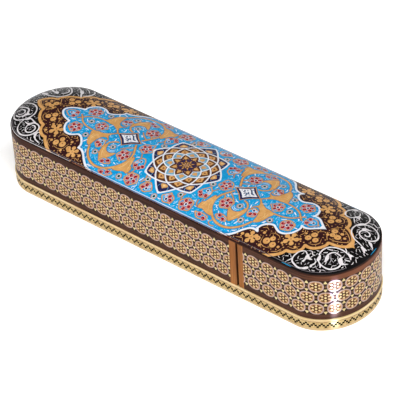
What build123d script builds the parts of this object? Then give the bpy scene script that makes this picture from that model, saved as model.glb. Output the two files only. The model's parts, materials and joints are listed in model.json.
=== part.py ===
from build123d import *
import os

os.makedirs("parts", exist_ok=True)

# ---------------------------------------------------------------------------
# Rectangular-oval pen box with a drawer that slides out of one rounded end.
# +X runs along the box towards the drawer's front, +Z is up, the origin is at
# the middle of the foot. Millimetres.
# ---------------------------------------------------------------------------

# plan
length = 240.0            # over the wall faces
width = 59.4              # over the wall faces
end_depth = 25.0          # how far each elliptical end reaches past the straight sides
half_l = length / 2
half_w = width / 2
cx = half_l - end_depth   # centre of each elliptical end

# plinth
foot_h = 1.4              # plain strip at the very bottom
zigzag_top = 5.5
bead_top = 7.1
foot_proud = 0.3
zigzag_proud = 0.2
bead_proud = 0.6
bead_round = 0.7
skin = 1.5                # thickness of everything laid on the wall core

# wall facing heights
lower_band_top = 10.5
khatam_top = 32.7
wall_top = 35.7           # underside of the domed top board
core = 3.5                # wall core behind the facing
wall_t = skin + core

# seam
seam_case = 56.7          # face of the case at the seam
seam_drawer = 57.7        # face of the drawer front at the seam
case_strip_w = 4.4
drawer_strip_w = 3.6
strip_chamfer = 0.25

# domed top
board_rim = 0.5           # upright edge of the top board
crown = 6.2               # rise of the dome above its rim
panel_inset = 0.35
panel_t = 0.4

# drawer
lift = 0.3                # drawer clear of the plinth
head = 0.2                # drawer front clear of the top board
side_gap = 0.5            # tray clear of the case walls
tray_t = 2.5
floor_t = 2.0
tray_top = 33.6
lining_t = 0.6

front_core = core + side_gap
tray_out = -(wall_t + side_gap)      # offset of the tray's outer face from the wall face
tray_in = tray_out - tray_t
floor_z = bead_top + lift
drawer_top = wall_top - head


def outline(k):
    """Plan outline of the box offset outwards by k."""
    with BuildSketch() as sk:
        with BuildLine():
            Line((-cx, -half_w - k), (cx, -half_w - k))
            EllipticalCenterArc((cx, 0), end_depth + k, half_w + k, start_angle=-90, arc_size=180)
            Line((cx, half_w + k), (-cx, half_w + k))
            EllipticalCenterArc((-cx, 0), end_depth + k, half_w + k, start_angle=90, arc_size=180)
        make_face()
    return sk.sketch


def ring(k_out, k_in, z0, z1, x0=None, x1=None):
    """Upright ring between two offsets of the outline, kept between x0 and x1."""
    with BuildPart() as p:
        with BuildSketch(Plane.XY.offset(z0)):
            add(outline(k_out))
            add(outline(k_in), mode=Mode.SUBTRACT)
            if x0 is not None:
                with Locations((x0 - length, 0)):
                    Rectangle(2 * length, 2 * width, mode=Mode.SUBTRACT)
            if x1 is not None:
                with Locations((x1 + length, 0)):
                    Rectangle(2 * length, 2 * width, mode=Mode.SUBTRACT)
        extrude(amount=z1 - z0)
    return p.part


def board(y_mid, thick, x0, x1, z0, z1):
    """Straight upright board running along X."""
    with BuildPart() as p:
        with BuildSketch(Plane.XY.offset(z0)):
            with Locations(((x0 + x1) / 2, y_mid)):
                Rectangle(x1 - x0, thick)
        extrude(amount=z1 - z0)
    return p.part


def strip(x0, x1, y_sign, z0, z1, deep, gap_side):
    """Upright strip that closes a wall at the seam, its outer seam corner eased."""
    with BuildPart() as p:
        with BuildSketch(Plane.XY.offset(z0)):
            with Locations(((x0 + x1) / 2, y_sign * (half_w - deep / 2))):
                Rectangle(x1 - x0, deep)
        extrude(amount=z1 - z0)
        upright = p.edges().filter_by(Axis.Z)
        outer = upright.sort_by(Axis.Y)[-2:] if y_sign > 0 else upright.sort_by(Axis.Y)[:2]
        seam_edge = outer.sort_by(Axis.X)[-1] if gap_side > 0 else outer.sort_by(Axis.X)[0]
        chamfer(seam_edge, length=strip_chamfer)
    return p.part


def dome(k, z_base, z_rim, rise):
    """Solid over the outline offset by k: upright up to z_rim, then a low dome."""
    b = half_w + k
    a = end_depth + k
    with BuildPart() as end:
        with BuildSketch(Plane.XZ):
            with BuildLine():
                Line((0, z_rim), (0, z_rim + rise))
                # quarter of the low arch, from the crown down to the rim
                RadiusArc((0, z_rim + rise), (b, z_rim), (b * b + rise * rise) / (2 * rise))
                Line((b, z_rim), (0, z_rim))
            make_face()
        revolve(axis=Axis.Z, revolution_arc=360)
        scale(by=(a / b, 1, 1))
        split(bisect_by=Plane.YZ, keep=Keep.TOP)
    with BuildPart() as p:
        with BuildSketch(Plane.XY.offset(z_base)):
            add(outline(k))
        extrude(amount=z_rim - z_base)
        with BuildSketch(Plane.YZ.offset(-cx)):
            with BuildLine():
                ThreePointArc((-b, z_rim), (0, z_rim + rise), (b, z_rim))
                Line((b, z_rim), (-b, z_rim))
            make_face()
        extrude(amount=2 * cx)
        with Locations((cx, 0, 0)):
            add(end.part)
        with Locations(Location((-cx, 0, 0), (0, 0, 180))):
            add(end.part)
    return p.part


parts = {}

# ---- plinth ---------------------------------------------------------------
with BuildPart() as base_board:
    with BuildSketch():
        add(outline(-skin))
    extrude(amount=bead_top)
parts["base_board"] = base_board.part

parts["base_lower_edge"] = ring(foot_proud, -skin, 0, foot_h)
parts["base_zigzag_strip"] = ring(zigzag_proud, -skin, foot_h, zigzag_top)

with BuildPart() as base_bead:
    with BuildSketch(Plane.XY.offset(zigzag_top)):
        add(outline(bead_proud))
    extrude(amount=bead_top - zigzag_top)
    fillet(base_bead.edges().group_by(Axis.Z)[0] + base_bead.edges().group_by(Axis.Z)[-1], radius=bead_round)
    with BuildSketch(Plane.XY.offset(zigzag_top)):
        add(outline(-skin))
    extrude(amount=bead_top - zigzag_top, mode=Mode.SUBTRACT)
parts["base_bead"] = base_bead.part

# ---- case wall ------------------------------------------------------------
case_x = seam_case - case_strip_w
mid_core = half_w - skin - core / 2
parts["case_side_near"] = board(-mid_core, core, -cx, case_x, bead_top, wall_top)
parts["case_side_far"] = board(mid_core, core, -cx, case_x, bead_top, wall_top)
parts["case_end_wall"] = ring(-skin, -wall_t, bead_top, wall_top, x1=-cx)
parts["case_lower_band"] = ring(0, -skin, bead_top, lower_band_top, x1=case_x)
parts["case_khatam_veneer"] = ring(0, -skin, lower_band_top, khatam_top, x1=case_x)
parts["case_upper_band"] = ring(0, -skin, khatam_top, wall_top, x1=case_x)
parts["case_end_strip_near"] = strip(case_x, seam_case, -1, bead_top, wall_top, wall_t, 1)
parts["case_end_strip_far"] = strip(case_x, seam_case, 1, bead_top, wall_top, wall_t, 1)

# ---- domed top ------------------------------------------------------------
rim_z = wall_top + board_rim
parts["top_board"] = dome(0, wall_top, rim_z, crown)
inset_rise = crown * (1 - ((half_w - panel_inset) / half_w) ** 2)
with BuildPart() as painted_panel:
    add(dome(-panel_inset, wall_top, rim_z + inset_rise + panel_t, crown - inset_rise))
    add(parts["top_board"], mode=Mode.SUBTRACT)
parts["painted_panel"] = painted_panel.part

# ---- drawer front ---------------------------------------------------------
front_x = seam_drawer + drawer_strip_w
parts["drawer_front_wall"] = ring(-skin, -skin - front_core, floor_z, drawer_top, x0=front_x)
parts["drawer_lower_band"] = ring(0, -skin, floor_z, lower_band_top, x0=front_x)
parts["drawer_khatam_veneer"] = ring(0, -skin, lower_band_top, khatam_top, x0=front_x)
parts["drawer_upper_band"] = ring(0, -skin, khatam_top, drawer_top, x0=front_x)
parts["drawer_end_strip_near"] = strip(seam_drawer, front_x, -1, floor_z, drawer_top, skin + front_core, -1)
parts["drawer_end_strip_far"] = strip(seam_drawer, front_x, 1, floor_z, drawer_top, skin + front_core, -1)

# ---- drawer tray ----------------------------------------------------------
with BuildPart() as drawer_floor:
    with BuildSketch(Plane.XY.offset(floor_z)):
        add(outline(tray_out))
    extrude(amount=floor_t)
parts["drawer_floor"] = drawer_floor.part

wall_z = floor_z + floor_t
mid_tray = half_w + tray_out - tray_t / 2
parts["drawer_side_near"] = board(-mid_tray, tray_t, -cx, cx, wall_z, tray_top)
parts["drawer_side_far"] = board(mid_tray, tray_t, -cx, cx, wall_z, tray_top)
parts["drawer_end_back"] = ring(tray_out, tray_in, wall_z, tray_top, x1=-cx)
parts["drawer_end_front"] = ring(tray_out, tray_in, wall_z, tray_top, x0=cx)

with BuildPart() as drawer_lining:
    with BuildSketch(Plane.XY.offset(wall_z)):
        add(outline(tray_in))
    extrude(amount=lining_t)
parts["drawer_lining"] = drawer_lining.part

for name, solid in parts.items():
    solid.label = name
    export_step(solid, f"parts/{name}.step")
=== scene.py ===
import json
import math
import random

import bpy
import numpy as np
from mathutils import Matrix, Vector
from mathutils.geometry import delaunay_2d_cdt

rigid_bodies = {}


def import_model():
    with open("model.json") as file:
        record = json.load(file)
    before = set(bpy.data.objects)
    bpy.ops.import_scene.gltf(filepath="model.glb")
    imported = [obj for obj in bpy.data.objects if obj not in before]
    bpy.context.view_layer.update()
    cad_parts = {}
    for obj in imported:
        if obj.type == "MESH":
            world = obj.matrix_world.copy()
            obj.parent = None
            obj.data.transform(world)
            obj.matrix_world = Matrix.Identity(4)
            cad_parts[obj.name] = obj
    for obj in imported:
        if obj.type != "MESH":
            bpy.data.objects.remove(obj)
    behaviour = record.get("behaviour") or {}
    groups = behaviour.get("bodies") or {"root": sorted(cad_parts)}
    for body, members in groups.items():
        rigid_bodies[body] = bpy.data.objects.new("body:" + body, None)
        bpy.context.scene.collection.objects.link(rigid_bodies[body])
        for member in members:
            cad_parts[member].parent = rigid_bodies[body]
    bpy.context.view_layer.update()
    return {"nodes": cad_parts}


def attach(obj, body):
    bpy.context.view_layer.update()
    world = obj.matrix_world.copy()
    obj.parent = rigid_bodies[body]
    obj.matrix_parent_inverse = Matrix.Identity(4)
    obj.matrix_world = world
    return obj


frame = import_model()
nodes = frame["nodes"]
scene = bpy.context.scene
MM = 0.001

# ---------------------------------------------------------------------------
# Sizes of the box in millimetres, as in the CAD source
# ---------------------------------------------------------------------------
CX = 95.0                 # centre of each rounded end
END_A, END_B = 25.0, 29.7  # semi-axes of the rounded ends
PANEL_A, PANEL_B = 24.65, 29.35
RIM_Z, RISE = 36.745, 6.055
DOME_R = (PANEL_B ** 2 + RISE ** 2) / (2 * RISE)
DOME_C = RIM_Z + RISE - DOME_R
KH_LO, KH_HI = 10.5, 32.7
ZZ_LO, ZZ_HI = 1.4, 5.5


def quarter_arc():
    """Arc length against parameter for a quarter of the rounded end."""
    t = np.linspace(0, math.pi / 2, 2001)
    d = np.hypot(END_A * np.cos(t), END_B * np.sin(t))
    s = np.concatenate([[0], np.cumsum((d[1:] + d[:-1]) / 2 * np.diff(t))])
    return s, t


ARC_S, ARC_T = quarter_arc()
QUARTER = ARC_S[-1]
STRAIGHT = 2 * CX
HALF = STRAIGHT + 2 * QUARTER   # from the tip of one end to the tip of the other


def wall_point(s, k=0.0):
    """Plan point and outward normal at arc length s, from the -X tip along the near side, offset outwards by k."""
    s = np.asarray(s, float) % (2 * HALF)
    far = s > HALF
    q = np.where(far, 2 * HALF - s, s)
    x, y = np.empty_like(q), np.empty_like(q)
    nx, ny = np.zeros_like(q), -np.ones_like(q)
    left, right = q < QUARTER, q > QUARTER + STRAIGHT
    mid = ~(left | right)
    x[mid], y[mid] = q[mid] - QUARTER - CX, -END_B - k
    for side, sign, dist in ((left, -1, QUARTER - q), (right, 1, q - QUARTER - STRAIGHT)):
        t = np.interp(dist[side], ARC_S, ARC_T)
        x[side] = sign * (CX + (END_A + k) * np.sin(t))
        y[side] = -(END_B + k) * np.cos(t)
        n = np.stack([np.sin(t) / END_A, -np.cos(t) / END_B], 1)
        n /= np.linalg.norm(n, axis=1)[:, None]
        nx[side], ny[side] = sign * n[:, 0], n[:, 1]
    y = np.where(far, -y, y)
    ny = np.where(far, -ny, ny)
    return x, y, nx, ny


def dome_z(x, y):
    """Height of the painted panel's own surface."""
    u = np.maximum(np.abs(x) - CX, 0) * PANEL_B / PANEL_A
    return DOME_C + np.sqrt(np.maximum(DOME_R ** 2 - u ** 2 - y ** 2, 1.0))


def dome_normal(x, y):
    z = dome_z(x, y) - DOME_C
    over = np.maximum(np.abs(x) - CX, 0)
    n = np.stack([np.sign(x) * over * (PANEL_B / PANEL_A) ** 2, y, z], -1)
    return n / np.linalg.norm(n, axis=-1)[..., None]


# ---------------------------------------------------------------------------
# Materials
# ---------------------------------------------------------------------------
LEVEL = 1.0               # how much of a screen colour the surface itself needs under these lights


def lin(r, g, b):
    """8-bit screen colour to linear, times LEVEL."""
    def f(v):
        v /= 255.0
        return LEVEL * (v / 12.92 if v <= 0.04045 else ((v + 0.055) / 1.055) ** 2.4)
    return (f(r), f(g), f(b), 1.0)


class Mat:
    def __init__(self, name, rough=0.4, coat=0.0, coat_rough=0.1, metal=0.0, spec=0.5, sheen=0.0):
        self.m = bpy.data.materials.new(name)
        self.m.use_nodes = True
        self.nt = self.m.node_tree
        self.bsdf = self.nt.nodes["Principled BSDF"]
        self.bsdf.inputs["Roughness"].default_value = rough
        self.bsdf.inputs["Coat Weight"].default_value = coat
        self.bsdf.inputs["Coat Roughness"].default_value = coat_rough
        self.bsdf.inputs["Metallic"].default_value = metal
        self.bsdf.inputs["Specular IOR Level"].default_value = spec
        if sheen:
            self.bsdf.inputs["Sheen Weight"].default_value = sheen
            self.bsdf.inputs["Sheen Roughness"].default_value = 0.4
        self.coord = self.nt.nodes.new("ShaderNodeTexCoord")

    def link(self, a, b):
        self.nt.links.new(a, b)

    def mapped(self, scale, rot=(0, 0, 0), loc=(0, 0, 0)):
        n = self.nt.nodes.new("ShaderNodeMapping")
        n.inputs["Scale"].default_value = scale
        n.inputs["Rotation"].default_value = rot
        n.inputs["Location"].default_value = loc
        self.link(self.coord.outputs["Object"], n.inputs["Vector"])
        return n.outputs[0]

    def noise(self, vec, scale=1.0, detail=4.0, rough=0.55, distort=0.0):
        n = self.nt.nodes.new("ShaderNodeTexNoise")
        n.inputs["Scale"].default_value = scale
        n.inputs["Detail"].default_value = detail
        n.inputs["Roughness"].default_value = rough
        n.inputs["Distortion"].default_value = distort
        self.link(vec, n.inputs["Vector"])
        return n.outputs["Fac"]

    def voronoi(self, vec, scale, feature="F1"):
        n = self.nt.nodes.new("ShaderNodeTexVoronoi")
        n.feature = feature
        n.inputs["Scale"].default_value = scale
        self.link(vec, n.inputs["Vector"])
        return n

    def ramp(self, fac, stops):
        n = self.nt.nodes.new("ShaderNodeValToRGB")
        e = n.color_ramp.elements
        while len(e) < len(stops):
            e.new(0.5)
        for i, (p, c) in enumerate(stops):
            e[i].position = p
            e[i].color = c
        self.link(fac, n.inputs["Fac"])
        return n.outputs["Color"]

    def grey(self, fac, lo, hi, a=0.0, b=1.0):
        n = self.nt.nodes.new("ShaderNodeMapRange")
        n.inputs["From Min"].default_value = lo
        n.inputs["From Max"].default_value = hi
        n.inputs["To Min"].default_value = a
        n.inputs["To Max"].default_value = b
        self.link(fac, n.inputs["Value"])
        return n.outputs["Result"]

    def mix(self, fac, a, b, mode="MIX"):
        n = self.nt.nodes.new("ShaderNodeMix")
        n.data_type = "RGBA"
        n.blend_type = mode
        for value, sock in ((fac, n.inputs[0]), (a, n.inputs[6]), (b, n.inputs[7])):
            if isinstance(value, (float, int, tuple)):
                sock.default_value = value
            else:
                self.link(value, sock)
        return n.outputs[2]

    def math(self, op, a, b):
        n = self.nt.nodes.new("ShaderNodeMath")
        n.operation = op
        for value, sock in ((a, n.inputs[0]), (b, n.inputs[1])):
            if isinstance(value, (float, int)):
                sock.default_value = value
            else:
                self.link(value, sock)
        return n.outputs[0]

    def base(self, sock):
        self.link(sock, self.bsdf.inputs["Base Color"])

    def rough(self, sock):
        self.link(sock, self.bsdf.inputs["Roughness"])

    def bump(self, height, strength=0.3, dist=0.0002):
        n = self.nt.nodes.new("ShaderNodeBump")
        n.inputs["Strength"].default_value = strength
        n.inputs["Distance"].default_value = dist
        self.link(height, n.inputs["Height"])
        self.link(n.outputs["Normal"], self.bsdf.inputs["Normal"])


def wood(name, dark, mid, light, grain=(60, 60, 1400), fine=(150, 150, 5200), rough=0.42, coat=0.12,
         coat_rough=0.2, bump=0.22, pores=0.35, twist=0.4, spec=0.22, turn=None, seam=None, crest=None):
    """Wood with its grain along the axes where the scale is small, pores and a soft varnish. turn is (x0, x1, colour):
    lighter wood that comes in along X, partly the wood's own tone and partly painted light and sheen. seam is (x,
    reach):
    painted shade on the wood along a seam gap. crest is (z, reach, colour): a painted highlight along the crest of a
    moulding, and painted shade in that colour away from it."""
    w = Mat(name, coat=coat, coat_rough=coat_rough, spec=spec)
    v = w.mapped(grain)
    g = w.noise(v, 1.0, 5.0, 0.6, twist)
    col = w.ramp(g, [(0.28, dark), (0.5, mid), (0.74, light)])
    f = w.noise(w.mapped(fine), 1.0, 3.0, 0.6)
    pore = w.grey(f, 0.60, 0.75, 0.0, pores)
    col = w.mix(pore, col, tuple(c * 0.35 for c in dark[:3]) + (1,))
    cloud = w.noise(w.mapped((28, 28, 40)), 1.0, 2.0)
    col = w.mix(w.grey(cloud, 0.35, 0.7, 0.0, 0.35), col, light)
    # painted light and sheen, partly also paler wood: the colour turns lighter towards the given colour along X
    if turn:
        x = w.nt.nodes.new("ShaderNodeSeparateXYZ")
        w.link(w.coord.outputs["Object"], x.inputs[0])
        along = w.math("ADD", x.outputs[0], w.math("MULTIPLY", w.math("SUBTRACT", g, 0.5), 0.02))
        amount = w.math("MULTIPLY", w.grey(along, turn[0], turn[1]), w.grey(g, 0.2, 0.7, 0.45, 1.0))
        col = w.mix(amount, col, turn[2])
    # painted shade: the wood darkens towards the seam gap at x
    if seam:
        x = w.nt.nodes.new("ShaderNodeSeparateXYZ")
        w.link(w.coord.outputs["Object"], x.inputs[0])
        off = w.math("ABSOLUTE", w.math("SUBTRACT", x.outputs[0], seam[0]), 0.0)
        col = w.mix(w.grey(off, 0.0005, seam[1], 0.85, 0.0), col, tuple(c * 0.3 for c in dark[:3]) + (1,))
    # painted highlight on the crest and painted shade: the colour darkens to the given colour away from height z
    if crest:
        z = w.nt.nodes.new("ShaderNodeSeparateXYZ")
        w.link(w.coord.outputs["Object"], z.inputs[0])
        off = w.math("ABSOLUTE", w.math("SUBTRACT", z.outputs[2], crest[0]), 0.0)
        col = w.mix(w.grey(off, crest[1] * 0.4, crest[1], 0.0, 0.75), col, crest[2])
    w.base(col)
    w.rough(w.grey(f, 0.3, 0.75, rough - 0.06, rough + 0.16))
    w.bump(w.math("ADD", w.math("MULTIPLY", f, 0.6), g), bump, 0.00015)
    return w.m


def inlay(name, c0, c1, cell=1150.0, rough=0.4, coat=0.06, coat_rough=0.2, metal=0.0, bump=0.12, dirt=0.3,
          streak=(2600, 2600, 900), spec=0.1):
    """Small pieces of bone, brass or wood, each with its own tone, rubbed level and varnished."""
    w = Mat(name, coat=coat, coat_rough=coat_rough, metal=metal, spec=spec)
    vec = w.mapped((1, 1, 1))
    tone = w.voronoi(vec, cell)
    n = w.nt.nodes.new("ShaderNodeSeparateColor")
    w.link(tone.outputs["Color"], n.inputs[0])
    col = w.mix(n.outputs[0], c0, c1)
    s = w.noise(w.mapped(streak), 1.0, 3.0, 0.6)
    col = w.mix(w.grey(s, 0.55, 0.8, 0.0, dirt), col, tuple(c * 0.45 for c in c0[:3]) + (1,))
    big = w.noise(vec, 45.0, 2.0)
    col = w.mix(w.grey(big, 0.4, 0.7, 0.0, 0.22), col, tuple(min(1, c * 1.25) for c in c1[:3]) + (1,))
    w.base(col)
    w.rough(w.grey(s, 0.3, 0.8, rough - 0.05, rough + 0.18))
    w.bump(w.math("ADD", n.outputs[1], w.math("MULTIPLY", s, 0.7)), bump, 0.00006)
    return w.m


def paint(name, c0, c1, c2=None, scale=(420, 420, 420), rough=0.42, coat=0.35, coat_rough=0.12, metal=0.0,
          stroke=(260, 1500, 260), amount=0.5, bump=0.05, spec=0.12):
    """Brushed colour under clear lacquer: broad uneven coverage, fine brush streaks and small specks."""
    w = Mat(name, coat=coat, coat_rough=coat_rough, metal=metal, spec=spec)
    a = w.noise(w.mapped(scale), 1.0, 3.0, 0.55, 0.6)
    col = w.mix(w.grey(a, 0.32, 0.68), c0, c1)
    b = w.noise(w.mapped(stroke, rot=(0, 0, 0.6)), 1.0, 4.0, 0.6, 0.8)
    col = w.mix(w.grey(b, 0.5, 0.78, 0.0, amount), col, c2 or tuple(c * 0.6 for c in c0[:3]) + (1,))
    w.base(col)
    w.rough(w.grey(b, 0.3, 0.75, rough - 0.05, rough + 0.12))
    w.bump(w.math("ADD", a, w.math("MULTIPLY", b, 0.6)), bump, 0.00005)
    return w.m


# ---------------------------------------------------------------------------
# Flat pattern to mesh
# ---------------------------------------------------------------------------
def inside(poly, pts):
    """Non-zero winding test of many points against one polygon."""
    x, y = pts[:, 0], pts[:, 1]
    w = np.zeros(len(pts), int)
    nxt = np.roll(poly, -1, 0)
    for (a, b), (c, d) in zip(poly, nxt):
        if b == d:
            continue
        side = (c - a) * (y - b) - (x - a) * (d - b)
        if b <= d:
            w += (b <= y) & (d > y) & (side > 0)
        else:
            w -= (b > y) & (d <= y) & (side < 0)
    return w != 0


def triangulate(polys, extra, eps=2e-4):
    """Triangles of the plane that follow every edge of the polygons."""
    verts, edges = [], []
    for p in polys:
        base, n = len(verts), len(p)
        verts.extend(Vector((float(x), float(y))) for x, y in p)
        edges.extend((base + i, base + (i + 1) % n) for i in range(n))
    verts.extend(Vector((float(x), float(y))) for x, y in extra)
    out = delaunay_2d_cdt(verts, edges, [], 0, eps)
    v = np.array([(p.x, p.y) for p in out[0]])
    f = np.array([t for t in out[2] if len(t) == 3], int).reshape(-1, 3)
    a = v[f]
    area = np.cross(a[:, 1] - a[:, 0], a[:, 2] - a[:, 0])
    keep = np.abs(area) > 1e-7
    f, area = f[keep], area[keep]
    flip = area < 0
    f[flip] = f[flip][:, ::-1]
    return v, f


def build(name, co, faces, uv, mat, body, normals=None):
    """Mesh object from points in millimetres, with its own flat UV map."""
    used, inv = np.unique(faces, return_inverse=True)
    co = co[used]
    faces_n = inv.reshape(-1, 3)
    me = bpy.data.meshes.new(name)
    me.from_pydata((co * MM).tolist(), [], faces_n.tolist())
    layer = me.uv_layers.new(name="OFBake")
    layer.data.foreach_set("uv", uv.reshape(-1).astype(np.float32))
    me.polygons.foreach_set("use_smooth", np.ones(len(faces_n), bool))
    me.materials.append(mat)
    me.update()
    if normals is not None:
        me.normals_split_custom_set_from_vertices(normals[used].tolist())
    o = bpy.data.objects.new(name, me)
    scene.collection.objects.link(o)
    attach(o, body)
    return o


# ---------------------------------------------------------------------------
# Camera, floor and lights
# ---------------------------------------------------------------------------
def make_camera():
    f, az, el, roll, tx, ty, tz, dist, cx, cy = 2047.0, 42.3, 37.4, -3.66, 3.89, -2.09, 20.5, 1104.78, 192.7, 203.0
    a, e, r = math.radians(az), math.radians(el), math.radians(roll)
    back = Vector((math.sin(a) * math.cos(e), -math.cos(a) * math.cos(e), math.sin(e)))
    right = Vector((math.cos(a), math.sin(a), 0))
    up = back.cross(right)
    R = math.cos(r) * right + math.sin(r) * up
    U = -math.sin(r) * right + math.cos(r) * up
    data = bpy.data.cameras.new("camera")
    data.sensor_width = 36.0
    data.lens = f / 400 * 36
    data.shift_x = (200 - cx) / 400
    data.shift_y = (cy - 200) / 400
    data.clip_start, data.clip_end = 0.05, 20
    cam = bpy.data.objects.new("camera", data)
    c = (Vector((tx, ty, tz)) + dist * back) * MM
    m = Matrix((R, U, back)).transposed().to_4x4()
    m.translation = c
    cam.matrix_world = m
    scene.collection.objects.link(cam)
    scene.camera = cam


def area(name, loc, target, size, power, color=(1, 1, 1)):
    d = bpy.data.lights.new(name, "AREA")
    d.shape = "RECTANGLE"
    d.size, d.size_y = size
    d.energy = power
    d.color = color
    o = bpy.data.objects.new(name, d)
    o.location = loc
    o.rotation_mode = "QUATERNION"
    o.rotation_quaternion = (Vector(target) - Vector(loc)).to_track_quat("-Z", "Y")
    scene.collection.objects.link(o)
    return o


def make_stage():
    me = bpy.data.meshes.new("floor")
    s = 3.0
    me.from_pydata([(-s, -s, 0), (s, -s, 0), (s, s, 0), (-s, s, 0)], [], [(0, 1, 2, 3)])
    floor = bpy.data.objects.new("floor", me)
    m = Mat("floor_paper", rough=0.9, spec=0.1)
    n = m.noise(m.mapped((9, 9, 9)), 1.0, 2.0)
    m.base(m.mix(m.grey(n, 0.3, 0.7), lin(250, 250, 250), lin(253, 253, 253)))
    m.bsdf.inputs["Emission Color"].default_value = (1, 1, 1, 1)
    m.bsdf.inputs["Emission Strength"].default_value = 0.22
    me.materials.append(m.m)
    scene.collection.objects.link(floor)
    world = bpy.data.worlds.new("studio")
    world.use_nodes = True
    nt = world.node_tree
    coord = nt.nodes.new("ShaderNodeTexCoord")
    split = nt.nodes.new("ShaderNodeSeparateXYZ")
    ramp = nt.nodes.new("ShaderNodeValToRGB")
    stops = [(0.0, 0.80), (0.14, 0.55), (0.34, 0.12), (0.60, 0.06), (1.0, 0.08)]
    e = ramp.color_ramp.elements
    while len(e) < len(stops):
        e.new(0.5)
    for i, (pos, v) in enumerate(stops):
        e[i].position = pos
        e[i].color = (v, v, v, 1)
    nt.links.new(coord.outputs["Generated"], split.inputs[0])
    nt.links.new(split.outputs["Z"], ramp.inputs["Fac"])
    nt.links.new(ramp.outputs["Color"], nt.nodes["Background"].inputs["Color"])
    nt.nodes["Background"].inputs["Strength"].default_value = 1.0
    scene.world = world
    area("main", (0.50, -0.55, 1.05), (0.0, 0, 0.02), (0.7, 0.7), 11.5)
    area("right_back", (0.80, 0.72, 0.80), (0.0, 0.02, 0.04), (0.6, 0.6), 7.0)
    area("left_front", (-0.80, -0.72, 0.80), (0.0, 0, 0.04), (0.6, 0.6), 6.0)
    area("key_right", (1.0, -0.35, 0.42), (0.05, 0, 0.02), (0.5, 0.5), 3.6)
    area("front_left", (-0.25, -1.1, 0.40), (0, 0, 0.02), (0.7, 0.5), 2.6)
    scene.view_settings.view_transform = "Standard"
    scene.view_settings.look = "None"
    scene.view_settings.exposure = 0.0
    scene.view_settings.gamma = 1.0
    # a narrow bright line down the rounded front, as from a tall slit of light
    x, y, nx, ny = (float(v[0]) for v in wall_point([254.5]))
    slit = area("slit", ((x + 180 * nx) * MM, (y + 180 * ny) * MM, 0.017), (x * MM, y * MM, 0.017), (0.001, 0.034), 0.0026,
                (1.05, 1.25, 1.75))
    slit.data.spread = math.radians(1.5)
    return slit


make_camera()
slit_light = make_stage()

# ---------------------------------------------------------------------------
# Finish of the CAD nodes
# ---------------------------------------------------------------------------
LEVEL = 0.62
walnut = wood("walnut_band", lin(32, 14, 9), lin(60, 32, 22), lin(96, 58, 42), coat=0.0, spec=0.07)
# the front band is lighter and redder than the other walnut, and lighter again on the rounded end (turn): partly its
# own wood tone, partly painted light and sheen from the right
walnut_front_tone_and_painted_light = wood("walnut_band_front_tone_and_painted_light", lin(32, 15, 9), lin(74, 42, 28), lin(124, 78, 54), coat=0.03, spec=0.08,
                  turn=(0.096, 0.113, lin(140, 84, 56)))
walnut_low = wood("walnut_band_low", lin(36, 18, 12), lin(70, 41, 29), lin(106, 68, 50), coat=0.0, spec=0.07)
# the end strips carry painted shade along the seam gap between case and drawer (seam)
strip_wood_painted_seam_shade = wood("strip_mahogany_painted_seam_shade", lin(88, 46, 16), lin(152, 88, 36), lin(206, 134, 66), spec=0.1, coat=0.05,
                  grain=(1300, 1300, 42), fine=(4200, 4200, 130), seam=(0.0572, 0.0011))
plinth = wood("plinth_maple", lin(194, 158, 110), lin(224, 194, 144), lin(241, 216, 170), grain=(36, 36, 900),
              fine=(120, 120, 4200), pores=0.18)
plinth_board = wood("plinth_board", lin(150, 112, 70), lin(184, 144, 96), lin(208, 172, 122), grain=(40, 900, 900),
                    fine=(130, 4200, 4200), coat=0.0, rough=0.55)
# the bead carries a painted highlight along its crest at 6.9 mm and painted shade below and above it (crest)
bead_wood_painted_crest_light_and_shade = wood("bead_maple_painted_crest_light_and_shade", lin(222, 172, 104), lin(246, 208, 140), lin(252, 228, 170), grain=(36, 36, 900),
                 fine=(120, 120, 4200), pores=0.12, coat=1.0, coat_rough=0.08, spec=0.4,
                 crest=(0.0069, 0.00085, lin(178, 128, 70)))
zig_ground = inlay("zigzag_ground", lin(208, 174, 112), lin(238, 208, 146), cell=620, streak=(900, 900, 2600))
core_wood = wood("core_poplar", lin(150, 112, 74), lin(186, 148, 104), lin(208, 174, 130), coat=0.0, rough=0.6)
tray_wood = wood("tray_wood", lin(128, 80, 44), lin(164, 110, 64), lin(192, 140, 90), coat=0.25, rough=0.45)
veneer = inlay("khatam_ground", lin(40, 22, 14), lin(70, 42, 28), cell=1300)
lacquer = paint("black_lacquer", lin(9, 7, 6), lin(17, 13, 12), lin(28, 22, 20), amount=0.25, spec=0.06)


def velvet():
    w = Mat("lining_velvet", rough=0.95, spec=0.15, sheen=0.5)
    nap = w.noise(w.mapped((2600, 2600, 900)), 1.0, 3.0, 0.7)
    sweep = w.noise(w.mapped((30, 48, 30)), 1.0, 3.0, 0.6, 1.0)
    col = w.mix(w.grey(nap, 0.3, 0.7), lin(86, 14, 22), lin(132, 26, 36))
    col = w.mix(w.grey(sweep, 0.42, 0.66, 0.0, 0.45), col, lin(58, 8, 15))
    w.base(col)
    w.rough(w.grey(nap, 0.2, 0.8, 0.85, 1.0))
    w.bump(nap, 0.5, 0.0003)
    return w.m


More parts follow.
